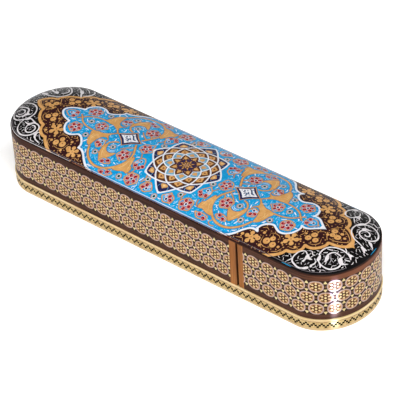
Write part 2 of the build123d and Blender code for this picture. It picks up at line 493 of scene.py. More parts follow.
finish = {
    "base_board": plinth_board, "base_lower_edge": plinth, "base_zigzag_strip": zig_ground, "base_bead": bead_wood_painted_crest_light_and_shade,
    "case_side_near": core_wood, "case_side_far": core_wood, "case_end_wall": core_wood,
    "case_khatam_veneer": veneer, "case_upper_band": walnut, "case_lower_band": walnut_low,
    "case_end_strip_near": strip_wood_painted_seam_shade, "case_end_strip_far": strip_wood_painted_seam_shade,
    "top_board": walnut, "painted_panel": lacquer,
    "drawer_front_wall": core_wood, "drawer_khatam_veneer": veneer, "drawer_upper_band": walnut_front_tone_and_painted_light,
    "drawer_lower_band": walnut_low, "drawer_end_strip_near": strip_wood_painted_seam_shade, "drawer_end_strip_far": strip_wood_painted_seam_shade,
    "drawer_floor": tray_wood, "drawer_side_near": tray_wood, "drawer_side_far": tray_wood,
    "drawer_end_back": tray_wood, "drawer_end_front": tray_wood, "drawer_lining": velvet(),
}
for name, material in finish.items():
    me = nodes[name].data
    for i in range(max(1, len(me.materials))):
        if i < len(me.materials):
            me.materials[i] = material
        else:
            me.materials.append(material)

# ---------------------------------------------------------------------------
# Khatam: mosaic of small triangles, three rows of rosettes
# ---------------------------------------------------------------------------
ROWS = (28.9, 21.6, 14.3)
ROS_W, ROS_H = 4.12, 3.64      # half width and half height of a rosette
RING = 0.825                   # inner edge of the bone ring, as a share
LAT = 5                        # triangles along one side of the inner hexagon


def sixfold(i, j):
    """The six corners of the lattice that (i, j) turns into."""
    out = set()
    for _ in range(6):
        out.add((i, j))
        i, j = -j, i + j
    return out


PETALS, INNER, TIPS = sixfold(3, 0), sixfold(2, 2) | sixfold(1, 1), sixfold(5, 0)


def rosette_outline(cu, cv, share, n=18):
    t = np.linspace(0, 2 * math.pi, n, endpoint=False) + math.pi / n
    r = 1.0 / (np.abs(np.cos(t)) ** 2.25 + np.abs(np.sin(t)) ** 2.25) ** (1 / 2.25)
    return np.stack([cu + ROS_W * share * r * np.cos(t), cv + ROS_H * share * r * np.sin(t)], 1)


def lattice(cu, cv):
    """Triangles of a hexagon cut into small equal triangles: (corner points, piece colour)."""
    made = []
    size = RING * 0.985 / LAT
    e1, e2 = np.array([math.sqrt(3) / 2, -0.5]), np.array([math.sqrt(3) / 2, 0.5])
    for i in range(-LAT, LAT):
        for j in range(-LAT, LAT):
            for up in (True, False):
                tri = [(i, j), (i + 1, j), (i, j + 1)] if up else [(i + 1, j), (i + 1, j + 1), (i, j + 1)]
                if any(max(abs(a), abs(b), abs(a + b)) > LAT for a, b in tri):
                    continue
                p = np.array([(a * e1 + b * e2) * size for a, b in tri])
                if (0, 0) in tri:
                    tone = "brass"
                elif PETALS & set(tri):
                    tone = "gold"
                elif TIPS & set(tri):
                    tone = "gold"
                elif INNER & set(tri):
                    tone = "dark" if up else "brown"
                else:
                    tone = "orange" if up else "brown"
                p = p * np.array([ROS_W, ROS_H]) * 1.0 + np.array([cu, cv])
                made.append((p, tone))
    return made


def gap_triangle(cu, cv, size, up):
    a = math.pi / 2 if up else -math.pi / 2
    t = a + np.array([0, 2, 4]) * math.pi / 3
    return np.stack([cu + size * np.cos(t), cv + size * 0.92 * np.sin(t)], 1)


def tile_shapes(P):
    """Every shape that touches one period of the band, between 0 and P, in painting order."""
    shapes = []
    for row, cv in enumerate(ROWS):
        shift = 0.0 if row != 1 else P / 2
        for k in (-1, 0, 1, 2):
            cu = k * P + shift
            if cu + 5 < 0 or cu - 5 > P:
                continue
            gu = cu + P / 2
            for up in (True, False):
                h = 2.4 if up else -2.4
                shapes.append((gap_triangle(gu, cv + h, 1.28, up), "brass"))
            shapes.append((np.array([(gu - .3, cv), (gu, cv - .5), (gu + .3, cv), (gu, cv + .5)]), "orange"))
            shapes.append((rosette_outline(cu, cv, 1.0), "bone"))
            shapes.append((rosette_outline(cu, cv, RING), "orange"))
            shapes.extend(lattice(cu, cv))
    return shapes


def tile_mesh(P, u0, u1):
    """Mosaic of one period cut to u0..u1: points, faces and the colour of each face."""
    shapes = tile_shapes(P)
    frame_rect = np.array([(u0, KH_LO), (u1, KH_LO), (u1, KH_HI), (u0, KH_HI)])
    us = np.linspace(u0, u1, max(2, int(math.ceil((u1 - u0) / 1.6)) + 1))
    vs = np.linspace(KH_LO, KH_HI, 13)
    edge = [(u, v) for u in us for v in (KH_LO, KH_HI)] + [(u, v) for v in vs for u in (u0, u1)]
    v, f = triangulate([s[0] for s in shapes] + [frame_rect], edge)
    c = v[f].mean(1)
    keep = (c[:, 0] > u0) & (c[:, 0] < u1) & (c[:, 1] > KH_LO) & (c[:, 1] < KH_HI)
    f, c = f[keep], c[keep]
    tone = np.array(["dark"] * len(f), dtype=object)
    for poly, name in shapes:
        lo, hi = poly.min(0), poly.max(0)
        near = np.where((c[:, 0] > lo[0]) & (c[:, 0] < hi[0]) & (c[:, 1] > lo[1]) & (c[:, 1] < hi[1]))[0]
        if len(near):
            tone[near[inside(poly, c[near])]] = name
    return v, f, tone


def band(first, last, P, phase):
    """The whole band from arc length first to last, with a rosette of the outer rows centred at phase."""
    start = phase + math.ceil((first - phase) / P) * P
    cells = []
    if start - first > 1e-6:
        cells.append((start - P, P - (start - first), P))
    while start + P <= last + 1e-6:
        cells.append((start, 0.0, P))
        start += P
    if last - start > 1e-6:
        cells.append((start, 0.0, last - start))
    cache, V, F, T, n = {}, [], [], [], 0
    for origin, u0, u1 in cells:
        key = (round(u0, 6), round(u1, 6))
        if key not in cache:
            cache[key] = tile_mesh(P, u0, u1)
        v, f, tone = cache[key]
        V.append(v + np.array([origin, 0.0]))
        F.append(f + n)
        T.append(tone)
        n += len(v)
    V, F, T = np.concatenate(V), np.concatenate(F), np.concatenate(T)
    key = np.round(V, 4)
    _, idx, inv = np.unique(key, axis=0, return_index=True, return_inverse=True)
    return V[idx], inv.reshape(-1)[F], T


def wall_uv(su, faces, v, width, rows, z0, height):
    """Strip folded into rows, so that it fills a square."""
    p = v[faces]
    row = np.clip(((p[:, :, 0].mean(1) - su) / width).astype(int), 0, rows - 1)
    cell = 1.0 / rows
    scale = cell * 0.94 / height
    u = (p[:, :, 0] - su - row[:, None] * width) * scale + 0.02
    w = (p[:, :, 1] - z0) * scale + row[:, None] * cell + cell * 0.03
    return np.stack([u, w], -1).reshape(-1, 2)


def lay_on_wall(prefix, V, F, T, body, mats, lift, su, total, z0, z1, skip=(), k=0.0):
    x, y, nx, ny = wall_point(V[:, 0], k)
    co = np.stack([x + nx * lift, y + ny * lift, V[:, 1]], 1)
    normals = np.stack([nx, ny, np.zeros_like(nx)], 1)
    height = z1 - z0
    rows = 1
    while total / rows > 0.98 * height * rows / 0.94:
        rows += 1
    for tone in sorted(set(T)):
        if tone in skip:
            continue
        pick = F[T == tone]
        build(prefix + tone, co, pick, wall_uv(su, pick, V, total / rows, rows, z0, height), mats[tone], body,
              normals=normals)


kh = {
    "bone": inlay("khatam_bone", lin(184, 152, 143), lin(216, 186, 173), cell=700),
    "brass": inlay("khatam_brass", lin(236, 206, 130), lin(255, 236, 172), cell=700, metal=0.25, rough=0.3, dirt=0.1, spec=0.4),
    "gold": inlay("khatam_gold_wood", lin(234, 192, 128), lin(255, 228, 172), cell=1100, dirt=0.12),
    "orange": inlay("khatam_orange_wood", lin(156, 104, 54), lin(194, 142, 86), cell=1100),
    "brown": inlay("khatam_brown_wood", lin(96, 54, 26), lin(134, 82, 44), cell=1100),
    "dark": inlay("khatam_dark_wood", lin(40, 22, 14), lin(70, 42, 28), cell=1100),
}
CASE_S = QUARTER + CX + 52.3          # seam edge of the band on the near side
P_CASE = 2 * 185.2 / 39
V, F, T = band(-CASE_S, CASE_S, P_CASE, -185.2)
lay_on_wall("case_khatam_", V, F, T, "case", kh, 0.04, -CASE_S, 2 * CASE_S, KH_LO, KH_HI)
DRAWER_S = QUARTER + CX + 61.3
V, F, T = band(DRAWER_S, 2 * HALF - DRAWER_S, 9.66, 206.1)
lay_on_wall("drawer_khatam_", V, F, T, "drawer", kh, 0.04, DRAWER_S, 2 * (HALF - DRAWER_S), KH_LO, KH_HI)

# ---------------------------------------------------------------------------
# Zigzag inlay round the plinth
# ---------------------------------------------------------------------------
N_ZZ = 135
P_ZZ = 2 * HALF / N_ZZ


def zigzag_tile():
    """Dark pieces of one period: a zigzag chain of small squares, between two thin lines."""
    P, lo, hi = P_ZZ, 2.4, 4.45
    h, mid = 0.2, 3.42
    shapes = []
    for k in (-1, 0, 1):
        a, m, b = k * P, k * P + P / 2, (k + 1) * P
        shapes.append(np.array([(a - h, lo), (a + h, lo), (m + h, hi), (m - h, hi)]))
        shapes.append(np.array([(m - h, hi), (m + h, hi), (b + h, lo), (b - h, lo)]))
        for q, z in ((a, lo), (m, hi), (a + P / 4, mid), (m + P / 4, mid)):
            w, e = 0.64, 0.56
            shapes.append(np.array([(q - w, z - e), (q + w, z - e), (q + w, z + e), (q - w, z + e)]))
    rails = [np.array([(0, a), (P, a), (P, b), (0, b)]) for a, b in ((1.42, 1.56), (5.28, 5.44))]
    rect = np.array([(0, ZZ_LO), (P, ZZ_LO), (P, ZZ_HI), (0, ZZ_HI)])
    v, f = triangulate(shapes + rails + [rect], [(P / 2, ZZ_LO), (P / 2, ZZ_HI)])
    c = v[f].mean(1)
    keep = (c[:, 0] > 0) & (c[:, 0] < P) & (c[:, 1] > ZZ_LO) & (c[:, 1] < ZZ_HI)
    f, c = f[keep], c[keep]
    tone = np.array(["ground"] * len(f), dtype=object)
    for s in shapes:
        tone[inside(s, c)] = "dark"
    for s in rails:
        tone[inside(s, c)] = "line"
    return v, f, tone


v, f, on = zigzag_tile()
V = np.concatenate([v + np.array([i * P_ZZ, 0]) for i in range(N_ZZ)])
F = np.concatenate([f + i * len(v) for i in range(N_ZZ)])
T = np.tile(on, N_ZZ)
_, idx, inv = np.unique(np.round(V, 4), axis=0, return_index=True, return_inverse=True)
V, F = V[idx], inv.reshape(-1)[F]
zz = {"dark": inlay("zigzag_ebony", lin(12, 7, 3), lin(34, 22, 10), cell=620, coat=0.0, spec=0.05),
      "line": inlay("zigzag_line", lin(132, 92, 48), lin(160, 116, 66), cell=620, streak=(900, 900, 2600))}
lay_on_wall("base_zigzag_", V, F, T, "case", zz, 0.24, 0.0, 2 * HALF, ZZ_LO, ZZ_HI, skip=("ground",))

# the slit of light only catches the inlaid faces
lit = bpy.data.collections.new("lit_by_slit")
for o in scene.objects:
    if o.type == "MESH" and ("khatam" in o.name or "zigzag" in o.name):
        lit.objects.link(o)
slit_light.light_linking.receiver_collection = lit

# ---------------------------------------------------------------------------
# Painted top: every colour is its own film of the same surface, cut along the
# outlines of the ornament. Coordinates are in plan, millimetres.
# ---------------------------------------------------------------------------
ART = []                  # (outline, colour) in painting order


def put(poly, tone):
    ART.append((np.asarray(poly, float), tone))


def curve(pts, step=0.7):
    """Smooth line through the points."""
    p = np.asarray(pts, float)
    if len(p) < 3:
        return p
    q = np.vstack([2 * p[0] - p[1], p, 2 * p[-1] - p[-2]])
    out = []
    for i in range(1, len(q) - 2):
        a, b, c, d = q[i - 1], q[i], q[i + 1], q[i + 2]
        n = max(2, int(np.linalg.norm(c - b) / step))
        for t in np.arange(n) / n:
            out.append(0.5 * (2 * b + (c - a) * t + (2 * a - 5 * b + 4 * c - d) * t ** 2
                              + (3 * b - a - 3 * c + d) * t ** 3))
    out.append(p[-1])
    return np.array(out)


def loop(pts, step=0.7):
    """Smooth closed outline through the points."""
    p = np.asarray(pts, float)
    k = len(p)
    q = np.vstack([p[-1], p, p[0], p[1]])
    out = []
    for i in range(1, k + 1):
        a, b, c, d = q[i - 1], q[i], q[i + 1], q[i + 2]
        n = max(2, int(np.linalg.norm(c - b) / step))
        for t in np.arange(n) / n:
            out.append(0.5 * (2 * b + (c - a) * t + (2 * a - 5 * b + 4 * c - d) * t ** 2
                              + (3 * b - a - 3 * c + d) * t ** 3))
    return np.array(out)


def ribbon(line, w, taper=(1.0, 1.0), swell=0.0):
    """Outline of a brush stroke along a line."""
    line = np.asarray(line, float)
    d = np.gradient(line, axis=0)
    d /= np.maximum(np.linalg.norm(d, axis=1), 1e-9)[:, None]
    n = np.stack([-d[:, 1], d[:, 0]], 1)
    t = np.linspace(0, 1, len(line))
    half = w / 2 * (taper[0] + (taper[1] - taper[0]) * t) * (1 + swell * np.sin(math.pi * t))
    half = np.maximum(half, 0.03)
    return np.vstack([line + n * half[:, None], (line - n * half[:, None])[::-1]])


def disc(c, r, n=10, squash=1.0, turn=0.0):
    t = np.linspace(0, 2 * math.pi, n, endpoint=False)
    p = np.stack([r * np.cos(t), r * squash * np.sin(t)], 1)
    co, si = math.cos(turn), math.sin(turn)
    return p @ np.array([[co, si], [-si, co]]) + np.asarray(c, float)


def drop(c, ang, length, width):
    """Leaf that is round at its foot c and pointed at its tip."""
    co, si = math.cos(ang), math.sin(ang)
    p = np.array([(0, 0), (0.12, .38), (0.32, .5), (0.58, .36), (0.8, .14), (1, 0),
                  (0.8, -.14), (0.58, -.36), (0.32, -.5), (0.12, -.38)]) * (length, width)
    return p @ np.array([[co, si], [-si, co]]) + np.asarray(c, float)


def line(pts, w, tone, taper=(1.0, 1.0), swell=0.0, step=0.7, caps=False):
    c = curve(pts, step)
    put(ribbon(c, w, taper, swell), tone)
    if caps:
        put(disc(c[0], w * taper[0] / 2, 8), tone)
        put(disc(c[-1], w * taper[1] / 2, 8), tone)


QUADS = [(1, 1), (1, -1), (-1, 1), (-1, -1)]


def each(pts, quads=QUADS):
    """The points in each quarter of the top, drawn for the near right one."""
    p = np.asarray(pts, float)
    for sx, sy in quads:
        yield p * (sx, sy)


def panel_edge(inset, n=40):
    a, b = PANEL_A - inset, PANEL_B - inset
    t = np.linspace(-math.pi / 2, math.pi / 2, n)
    right = np.stack([CX + a * np.cos(t), b * np.sin(t)], 1)
    m = max(2, int(2 * CX / 2.2))
    top = np.stack([np.linspace(CX, -CX, m + 1)[1:-1], np.full(m - 1, b)], 1)
    return np.vstack([right, top, -right, -top])


# ---- fields -----------------------------------------------------------------
# The near edge of each half, from the long side to its tip; the far edge is its mirror image.
GOLD_EDGE = {
    1: [[(74.2, -30.2), (78, -28.4), (81, -26.6), (83.2, -24.6), (84.2, -22.4)],
        [(84.2, -22.4), (86.6, -22.1), (89.2, -20.7), (91, -18.2), (90.9, -15.2)],
        [(90.9, -15.2), (93.6, -15.5), (96.4, -14.5), (98.9, -12), (100, -9.6), (99.9, -7.7)],
        [(99.9, -7.7), (102.6, -7), (105.4, -5.6), (108, -3.2), (110.2, 0)]],
    -1: [[(73.5, -30.2), (77, -28.4), (80, -26.4), (82.6, -24.4), (84, -22.6)],
         [(84, -22.6), (86.4, -22.4), (88.9, -21), (90.6, -18.9), (91, -16.4)],
         [(91, -16.4), (94, -15.4), (96.9, -13.2), (98.8, -10.6), (99.9, -8.4), (100, -6.3)],
         [(100, -6.3), (102.6, -5.6), (105.6, -4), (108, -2), (109.8, 0)]],
}
WHITE_EDGE = {
    1: [[(43.5, -30.3), (46.5, -29), (49.8, -28.3), (53, -25.9), (55.8, -22.4), (58.4, -19.9), (61, -19.1), (63.4, -19.6)],
        [(63.4, -19.6), (62.2, -17.6), (63.2, -15.1), (65.5, -13), (68.4, -12.2), (70.8, -13.4), (73.6, -14.6),
         (76.9, -14.1), (79.7, -11.9), (81.3, -8.8), (81.6, -6.4), (80.9, -4.9)],
        [(80.9, -4.9), (83, -5.4), (85.4, -4.7), (88.2, -2.6), (90.2, -1.1), (91.8, 0)]],
    -1: [[(43, -30.3), (45.5, -29), (49, -27.9), (53, -25), (56, -22.2), (58.8, -20.4), (61.5, -20)],
         [(61.5, -20), (61.6, -17.8), (63.2, -15.4), (65.6, -13.2), (68.2, -12.4), (70.6, -13.9), (73, -14.8),
          (76.4, -14.4), (79, -12), (80.4, -9), (80.1, -6.7)],
         [(80.1, -6.7), (82.6, -6.1), (85.4, -5.1), (87.9, -3.4), (89.4, -1.6), (89.8, 0)]],
}


def droop(p):
    """The tip at the right end hangs a little towards the near side, and the scallop at the far left sits low."""
    p = np.array(p, float)
    low = 1.9 * np.exp(-((p[:, 0] + 97) / 9) ** 2) * np.clip(p[:, 1] / 9, 0, 1)
    p[:, 1] -= 1.1 * np.clip((p[:, 0] - 102) / 8, 0, 1.1) + low
    return p


def field(edges):
    """Closed outline of a field that reaches both long edges."""
    half = {}
    for sx, edge in edges.items():
        near = np.vstack([curve(s)[:-1] for s in edge] + [np.array([edge[-1][-1]])])
        half[sx] = np.vstack([near, (near * (1, -1))[::-1][1:]]) * (sx, 1)
    return droop(np.vstack([half[1], half[-1][::-1]]))


def edge_lines(edges, d=0.0):
    """Each segment of an edge in all four quarters, moved inwards by d."""
    for sx, edge in edges.items():
        for s in edge:
            c = curve(s)
            g = np.gradient(c, axis=0)
            g /= np.linalg.norm(g, axis=1)[:, None]
            c = c + np.stack([-g[:, 1], g[:, 0]], 1) * d
            for sy in (1, -1):
                yield droop(c * (sx, sy))


PLUM, BLUE = field(GOLD_EDGE), field(WHITE_EDGE)
put(panel_edge(0.0), "black")
put(PLUM, "plum")
put(BLUE, "blue")
for p in edge_lines(WHITE_EDGE, 1.15):
    put(ribbon(p, 0.26), "deep")
for p in edge_lines(GOLD_EDGE):
    put(ribbon(p, 1.7), "gold")
    put(disc(p[0], 0.84), "gold")
for sx, x0, x1 in ((1, 107.8, 111.8), (-1, 107.8, 110.8)):
    put(droop([(x0 * sx, -2.5), (x1 * sx, 0), (x0 * sx, 2.5)]), "gold")
for p in edge_lines(WHITE_EDGE):
    put(ribbon(p, 1.15), "white")
    put(disc(p[0], 0.56), "white")
put([(89.4, -1.5), (93.2, 0), (89.4, 1.5)], "white")

# ---- gold arabesque on the blue field -----------------------------------------
ESLIMI = [
    loop([(28.6, -10.5), (27, -14), (26.3, -16.6), (24.9, -17.6), (24.5, -19.8), (25.1, -21.8), (27.6, -21.3),
          (30.6, -22.4), (33.2, -22.9), (34.8, -22.4), (32.6, -20), (31, -17), (30.4, -13.8)]),
    loop([(51.4, -1.6), (54, -3.4), (57, -4.7), (60.2, -4.6), (63.4, -6.2), (62.4, -9), (61.6, -12), (59.8, -14.6),
          (57.4, -15.8), (57, -13), (56.4, -10), (55.4, -7.6), (53.2, -6.2), (51.2, -6.6), (52.8, -4.4)]),
    loop([(48.6, -9), (49.7, -11.6), (49.5, -14.6), (48.4, -17.6), (46.4, -20.4), (45.2, -21.4), (43.4, -19.6),
          (41.7, -17.4), (40.3, -15), (40, -13.3), (42.8, -14.8), (45, -14.6), (46.9, -13.4), (47.8, -11)]),
]
ESLIMI_LINES = [
    ([(34.6, -2.2), (32.6, -5.6), (30.6, -9.4), (30.1, -13), (31, -17), (33.1, -20.2), (36.2, -23), (40, -24.9),
      (44.2, -25.4), (48.2, -24.6), (51.8, -22.6), (54.8, -19.6), (56.9, -15.8)], 1.15),
    ([(43.8, -5.8), (46, -6.4), (47.8, -7.9), (49, -9.8)], 0.9),
    ([(33.4, -4.6), (36, -6.2), (38.2, -7.9), (39.8, -9.6)], 0.55),
    ([(32.2, -7.6), (33.6, -9.2), (33.7, -11.6)], 0.6),
    ([(51.4, -6.4), (50.6, -8), (51.6, -9.6), (53, -10.4)], 0.5),
    ([(50, 0), (52.6, -2.4), (56.4, -4.6), (60.4, -5.4), (66, -5.3), (70.2, -4.4), (74, -2.4), (76.4, 0.2), (78.6, 2)], 0.85),
    ([(48.3, -17.6), (50.4, -16.6), (52.4, -16.4)], 0.45),
    ([(37.6, -24), (36.2, -26.4), (38, -27.6), (40.4, -27.2)], 0.4),
    ([(24.4, -21.6), (22.8, -19.8), (22.4, -17.4)], 0.45),
    ([(13.6, -17.4), (13, -19.6), (13.8, -22.6)], 0.5),
    ([(24.2, -17.2), (25.4, -13.4), (25, -9.4), (26.8, -6.2)], 0.4),
]
for shape in ESLIMI:
    for p in each(shape):
        put(ribbon(np.vstack([p, p[:2]]), 0.5), "umber")
for pts, w in ESLIMI_LINES:
    for p in each(curve(pts)):
        put(ribbon(p, w + 0.36), "umber")
for shape in ESLIMI:
    for p in each(shape):
        put(p, "gold")
for pts, w in ESLIMI_LINES:
    for p in each(curve(pts)):
        put(ribbon(p, w, (0.8, 0.8), 0.25), "gold")
# lights along the gold leaves
for pts in ([(27.6, -13), (26.8, -16.4), (26.2, -19.6)], [(29.4, -14), (29.6, -17.6), (31.4, -20.8)],
            [(48.4, -13), (47.4, -16.2), (45.4, -19.2)], [(58.2, -6.6), (60, -9.6), (59.4, -12.8)],
            [(60.8, -7), (61, -9), (60.6, -11.2)]):
    for p in each(curve(pts)):
        put(ribbon(p, 0.34, (0.3, 0.3), 1.6), "glow")


# ---- flowers ------------------------------------------------------------------
def contour(c, rx, ry, tip=None, lobes=5, w=0.6, phase=0.3, fill="blue"):
    """Gold outline of a flower, lobed and drawn out to a tip."""
    t = np.linspace(0, 2 * math.pi, 40, endpoint=False)
    r = 1 + 0.075 * np.cos(lobes * t + phase)
    p = np.stack([rx * r * np.cos(t), ry * r * np.sin(t)], 1)
    if tip is not None:
        d = np.array(tip, float) - c
        L = np.linalg.norm(d)
        d /= L
        along = p @ d
        base = abs(rx * d[0]) + abs(ry * d[1])
        share = np.clip(along / max(base, 1e-6), 0, 1) ** 3
        side = p - along[:, None] * d
        p = side * (1 - 0.75 * share)[:, None] + d * (along + share * (L - base))[:, None]
    p = p + np.asarray(c, float)
    put(ribbon(np.vstack([p, p[:2]]), w + 0.3), "umber")
    put(p, fill)
    put(ribbon(np.vstack([p, p[:2]]), w), "gold")


def petals(c, reds, centre, r=1.28, white=()):
    """Pink petals with a dark red heart each, round a centre."""
    for q in white:
        put(disc(q, r * 0.95, 12), "pink")
        put(disc(q, r * 0.66, 10), "sky")
    for q in reds:
        put(disc(q, r + 0.22, 12), "umber")
    for q in reds:
        put(disc(q, r + 0.06, 12), "pink")
    for q in reds:
        a = math.atan2(q[1] - c[1], q[0] - c[0])
        put(disc(q, r * 0.86, 12, 0.86, a), "red")
        put(disc((q[0] - 0.45 * math.cos(a + 1.2), q[1] - 0.45 * math.sin(a + 1.2)), 0.2, 6), "pink")
    if centre is not None:
        put(disc(centre, 1.02, 12), "white")
        put(disc(centre, 0.72, 10), "navy")


def eye(c):
    put(disc(c, 1.85, 14), "umber")
    put(disc(c, 1.72, 14), "gold")
    put(disc(c, 1.32, 12), "blue")
    put(disc(c, 1.1, 12), "white")
    put(disc(c, 0.86, 10), "green")


FLOWERS = [  # name, centre, reds, centre dot, contour size, tip of the contour, extra white petals
    ("F2", (22.4, -11.8), [(19.6, -12.8), (21, -14.4), (23.8, -13.6)], (22.6, -10.1), (3.1, 3.7), (22.8, -6.6), [(24.4, -11.6)]),
    ("F3", (18.1, -23), [(16.8, -21.1), (19.6, -21.3), (16, -23.8), (20.4, -23.7), (18.3, -25.7)], (18.1, -23), (4.0, 3.8), (20.8, -18.2), []),
    ("F4", (6.6, -24.3), [(7.1, -23), (8.5, -24.9)], (6, -25.1), (3.6, 2.7), (6.6, -20.9), [(5.1, -23.2)]),
    ("F5", (30, -25.3), [(28.7, -24.7), (32, -26)], None, (4.0, 1.65), (25.2, -23.6), []),
    ("F6", (36.9, -12.2), [(36.3, -10.2), (38.7, -10.9), (34.5, -12.3), (36.1, -14.2), (38.5, -13.6)], (36.9, -12.2), (3.7, 3.8), (33.6, -8.2), []),
    ("F7", (53.2, -10.8), [(54.8, -11.2), (52.7, -12.2)], (53, -9.3), (2.7, 3.1), (51.6, -7.2), [(54.6, -9.4)]),
    ("F8", (40.4, -21.1), [(39, -20.4), (41.9, -21.9)], None, (3.4, 1.6), (44.6, -23.2), []),
    ("F11", (74.3, -8.8), [(73.6, -6.8), (76.3, -7.7), (71.7, -8.8), (75.9, -10.1), (73.2, -11)], (74.2, -8.8), (3.9, 3.7), (70.2, -5.8), []),
]
SHIFT = {  # where the left half, drawn by hand, differs from the right one
    "F2": (-0.4, -1.3), "F3": (-1.9, -0.2), "F4": (-2.3, 0.5), "F5": (-6.8, -0.9), "F6": (1.9, 0.0), "F8": (-1.2, 0.8),
    "F7": (0.4, -0.6), "F11": (0.4, 0.3),
}


def placed(p, name, sx, sy):
    p = np.asarray(p, float) * (sx, sy)
    if sx < 0 and name in SHIFT:
        p = p + np.array(SHIFT[name]) * (1, sy)
    return p


for name, c, reds, dot, size, tip, white in FLOWERS:
    for sx, sy in QUADS:
        cc = placed(c, name, sx, sy)
        contour(cc, size[0], size[1], placed(tip, name, sx, sy), phase=0.3 + sx + 2 * sy, w=0.62)
        petals(cc, [placed(q, name, sx, sy) for q in reds], None if dot is None else placed(dot, name, sx, sy),
               white=[placed(q, name, sx, sy) for q in white])
for sx in (1, -1):
    c = (28.3 if sx > 0 else -27.4, -1.6)
    contour(np.array(c), 3.9, 3.6, (c[0] - sx * 2.2, 5.2), w=0.62, phase=1.0)
    petals(c, [(c[0] + 2.15 * math.cos(a), c[1] + 2.15 * math.sin(a)) for a in (0.3, 1.5, 2.75, 4.0, 5.25)], c, r=1.15)
    c = (61.6 * sx, -0.2)
    contour(np.array(c), 3.4, 3.5, (57.2 * sx, -0.2), w=0.55, phase=2.0)
    petals(c, [(c[0] + 1.95 * math.cos(a), c[1] + 1.95 * math.sin(a)) for a in (0.6, 1.8, 3.1, 4.3, 5.6)], c, r=1.05)
    c = (83.6 * sx, 0)
    contour(np.array(c), 3.6, 3.0, (88 * sx, 0), w=0.55, phase=0.6)
    petals(c, [(81.5 * sx, 1.75), (81.5 * sx, -1.75)], (84.6 * sx, 0.1), r=1.25, white=[(83.2 * sx, 0)])
for e in [(11.5, -19.4), (44.4, -10.4), (50.9, -17.9), (64.4, -10.6)]:
    for p in each([e]):
        eye(p[0])
for e in [(21.6, -4.6), (68.9, 0.4), (-69.3, -0.1), (-21.8, 6.2), (-27.6, -24.9), (-1.2, -26.6)]:
    eye(e)
# cloud of pale strokes round the inner eye of each leaf
for sx, sy in QUADS:
    c = np.array([44.0 * sx, -10.6 * sy])
    for r, a0, a1 in ((2.6, 3.4, 5.4), (3.5, 3.7, 5.0), (2.7, 0.3, 1.5)):
        a = np.linspace(a0, a1, 8)
        put(ribbon(c + np.stack([r * sx * np.cos(a), r * sy * np.sin(a)], 1), 0.42, (0.3, 0.3), 1.2), "white")

# ---- cartouches ---------------------------------------------------------------
for sx in (1, -1):
    c = np.array([41.4 * sx, 0.1])
    def rhomb(a, b, pinch, dx=0.0, dy=0.0):
        corners = [(a, 0), (0, b), (-a, 0), (0, -b)]
        out = []
        for i in range(4):
            p, q = np.array(corners[i]), np.array(corners[(i + 1) % 4])
            for t in np.linspace(0, 1, 7)[:-1]:
                m = p * (1 - t) + q * t
                out.append(m * (1 - pinch * math.sin(math.pi * t)))
        return np.array(out) + c + (dx, dy)
    put(rhomb(8.9, 7.4, 0.10), "umber")
    put(rhomb(8.6, 7.1, 0.10), "gold")
    put(rhomb(7.9, 6.5, 0.10, 0.1, -0.1), "navy")
    put(rhomb(6.3, 4.9, 0.13, 0.0, 0.15), "white")
    for pts, w in (([(-1.2, 3.4), (0.2, 3.2), (1.2, 2), (2.2, 1.2)], 0.9), ([(1.6, 1.4), (2.8, 0.4), (4.4, 0.3)], 1.0),
                   ([(-0.2, 0.9), (0.4, -0.4), (1.6, -0.7)], 0.8), ([(-0.9, -0.7), (0.2, -1.6), (0, -3.2)], 1.0),
                   ([(-3.4, 1), (-2.4, 0.2), (-3, -0.9)], 0.8), ([(-1.9, -0.4), (-1.3, -1.5), (-1.6, -2.4)], 0.6),
                   ([(2, -2), (3, -1.2)], 0.6), ([(-2, 2.2), (-1.2, 1.4)], 0.7), ([(-4.8, 0.4), (-4.2, -0.2)], 0.5),
                   ([(0.6, 4.2), (1.4, 3.6)], 0.5), ([(0.9, -3.2), (1.4, -2.6)], 0.5)):
        k = curve(np.array(pts, float) * 0.9 + c + (0, 0.15), 0.5)
        put(ribbon(k, w * 1.25, (0.6, 0.5), 0.5), "navy")
        put(ribbon(k + 0.12, w * 0.24, (0.3, 0.3), 0.6), "sky")

# ---- medallion ----------------------------------------------------------------
MC = np.array([-0.5, 0.0])
RADII = [23.0, 18.8, 16.2, 13.0, 10.0, 7.0, 4.2]
TIP_R = [23.1, 22.8, 24.4, 23.2, 23.0, 22.5, 24.0, 22.6]     # outer tips, from the right one round


def polar(r, k):
    a = k * math.pi / 4
    return MC + np.array([r * math.cos(a), r * math.sin(a)])


def tip_side(r0, k0, r1, k1, bulge, n):
    """One side of an outer tip, slightly bowed outwards."""
    a, b = polar(r0, k0), polar(r1, k1)
    t = np.linspace(0, 1, n)[:, None]
    p = a + (b - a) * t
    out = (p - MC) / np.linalg.norm(p - MC, axis=1)[:, None]
    return p + out * bulge * np.sin(math.pi * t)


SEG = 6


def spiral(k, way):
    """One white line of the medallion, from an outer tip at k round to the centre, as its pieces between nodes."""
    nodes_ = np.array([polar(r, k + way * j / 2) for j, r in enumerate(RADII)])
    q = np.vstack([2 * nodes_[0] - nodes_[1], nodes_, 2 * nodes_[-1] - nodes_[-2]])
    out = [tip_side(TIP_R[k], k, RADII[1], k + way / 2, 0.45, SEG + 1)]
    for i in range(2, len(q) - 2):
        a, b, c, d = q[i - 1], q[i], q[i + 1], q[i + 2]
        t = np.linspace(0, 1, SEG + 1)[:, None]
        out.append(0.5 * (2 * b + (c - a) * t + (2 * a - 5 * b + 4 * c - d) * t ** 2
                          + (3 * b - a - 3 * c + d) * t ** 3))
    return out


WAYS = {(k, w): spiral(k, w) for k in range(8) for w in (1, -1)}


def piece(ring, mid, way):
    """The line from the node of a ring at mid to the next ring, going one way."""
    return WAYS[(int(round(mid - way * ring / 2)) % 8, way)][ring]


